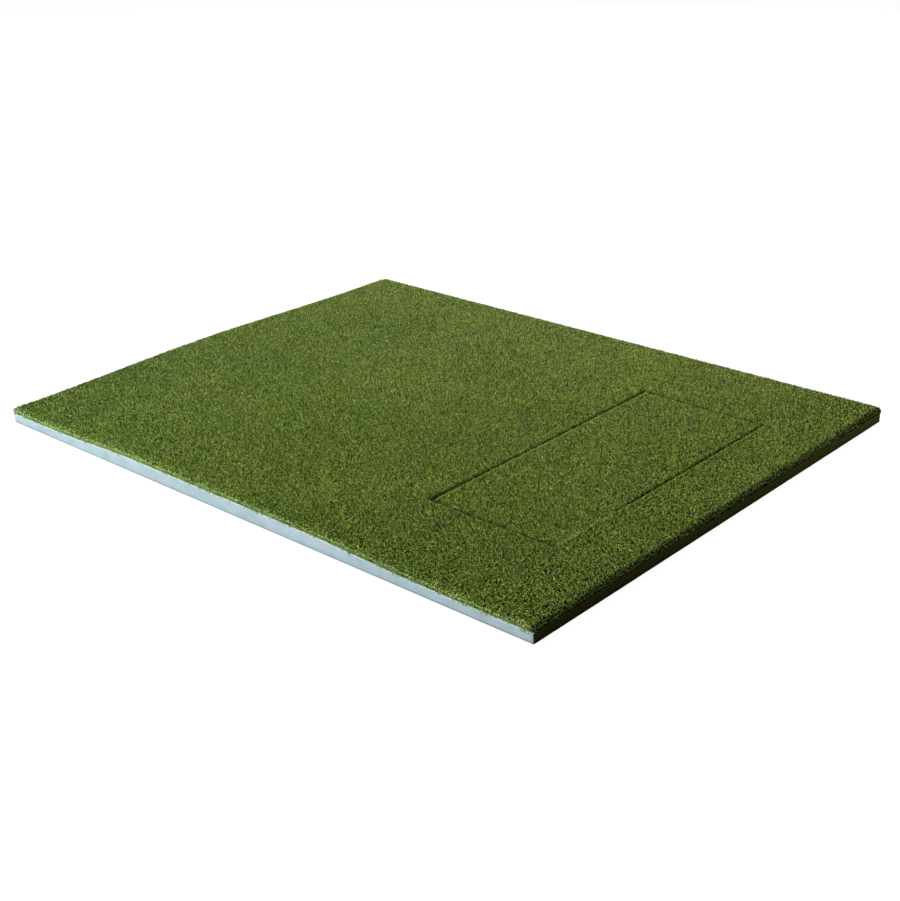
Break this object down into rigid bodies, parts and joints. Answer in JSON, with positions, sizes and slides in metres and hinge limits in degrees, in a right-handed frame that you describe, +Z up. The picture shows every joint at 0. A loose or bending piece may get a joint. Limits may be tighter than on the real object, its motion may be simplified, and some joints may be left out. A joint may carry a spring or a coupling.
{
  "type": "golf hitting mat",
  "caption": "Flat rectangular golf hitting mat of dense green turf on a foam base, with an exchangeable hitting strip that lifts out of a pocket.",
  "frame": {"origin": "on the floor under the middle of the mat", "axes": "+X along the long sides towards the end that holds the strip, +Y along the short sides in the direction of the swing, +Z up"},
  "size_m": [1.53, 1.2252, 0.034],
  "materials": {
    "turf": "dense curled nylon pile, matt with a soft sheen",
    "backing": "woven backing with a pale latex coat, matt",
    "foam": "smooth closed-cell foam, satin",
    "sheet": "thin textured non-slip sheet, matt",
    "loop": "brushed loop tape, matt",
    "hook": "fine hook tape, low sheen"
  },
  "bodies": {
    "mat": {"bottom_sheet": "sheet", "base_foam": "foam", "turf_backing": "backing", "turf_pile": "turf", "pocket_loop_left": "loop", "pocket_loop_right": "loop", "pocket_loop_near": "loop", "pocket_loop_far": "loop"},
    "strip": {"strip_hook_left": "hook", "strip_hook_right": "hook", "strip_hook_near": "hook", "strip_hook_far": "hook", "strip_foam": "foam", "strip_backing": "backing", "strip_pile": "turf"}
  },
  "joints": [
    {"name": "strip_lift", "type": "slide", "parent": "mat", "child": "strip", "axis": [0, 0, 1], "range_m": [0, 0.08]}
  ]
}
